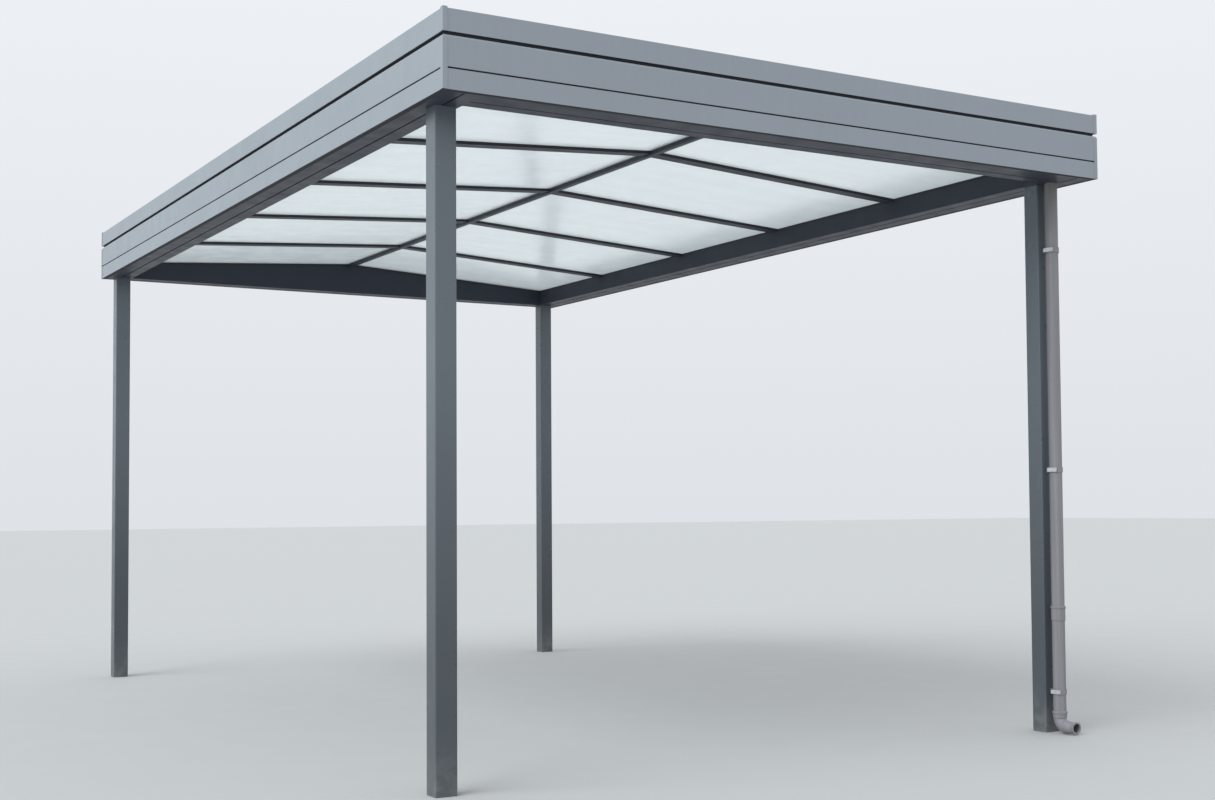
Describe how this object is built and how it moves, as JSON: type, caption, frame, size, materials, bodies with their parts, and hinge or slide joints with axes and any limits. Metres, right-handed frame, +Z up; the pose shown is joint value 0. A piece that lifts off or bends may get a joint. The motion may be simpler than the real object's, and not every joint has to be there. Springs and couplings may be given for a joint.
{
  "type": "carport",
  "caption": "Open carport on square posts with a grooved fascia all round, a low gable roof of milky panes and a downpipe beside one post.",
  "frame": {"origin": "on the ground, below the middle of the roof's outline", "axes": "+X to the right for someone facing the entrance, +Y from the entrance to the rear, +Z up"},
  "size_m": [3, 5, 2.616],
  "materials": {
    "frame_coat": "powder coated, satin dark grey",
    "fascia_coat": "powder coated, satin grey",
    "pane": "milky twin-wall sheet",
    "pipe_plastic": "weathered grey",
    "zinc": "galvanised"
  },
  "bodies": {
    "root": {"clamp_locks": "zinc", "downpipe_shoe": "pipe_plastic", "front_beam": "frame_coat", "front_left_corner_trim": "fascia_coat", "front_left_post": "frame_coat", "front_right_corner_trim": "fascia_coat", "front_right_post": "frame_coat", "gutter_outlet": "pipe_plastic", "left_cover_strips": "frame_coat", "left_gutter_beam": "frame_coat", "left_pane_1": "pane", "left_pane_2": "pane", "left_pane_3": "pane", "left_pane_4": "pane", "left_pane_5": "pane", "lower_downpipe": "pipe_plastic", "lower_front_fascia": "fascia_coat", "lower_left_fascia": "fascia_coat", "lower_rear_fascia": "fascia_coat", "lower_right_fascia": "fascia_coat", "pipe_clamps": "pipe_plastic", "rafter_pair_1": "frame_coat", "rafter_pair_2": "frame_coat", "rafter_pair_3": "frame_coat", "rafter_pair_4": "frame_coat", "rear_beam": "frame_coat", "rear_left_corner_trim": "fascia_coat", "rear_left_post": "frame_coat", "rear_right_corner_trim": "fascia_coat", "rear_right_post": "frame_coat", "ridge_bar": "frame_coat", "ridge_cap": "frame_coat", "right_cover_strips": "frame_coat", "right_gutter_beam": "frame_coat", "right_pane_1": "pane", "right_pane_2": "pane", "right_pane_3": "pane", "right_pane_4": "pane", "right_pane_5": "pane", "upper_downpipe": "pipe_plastic", "upper_front_fascia": "fascia_coat", "upper_left_fascia": "fascia_coat", "upper_rear_fascia": "fascia_coat", "upper_right_fascia": "fascia_coat"}
  },
  "joints": []
}
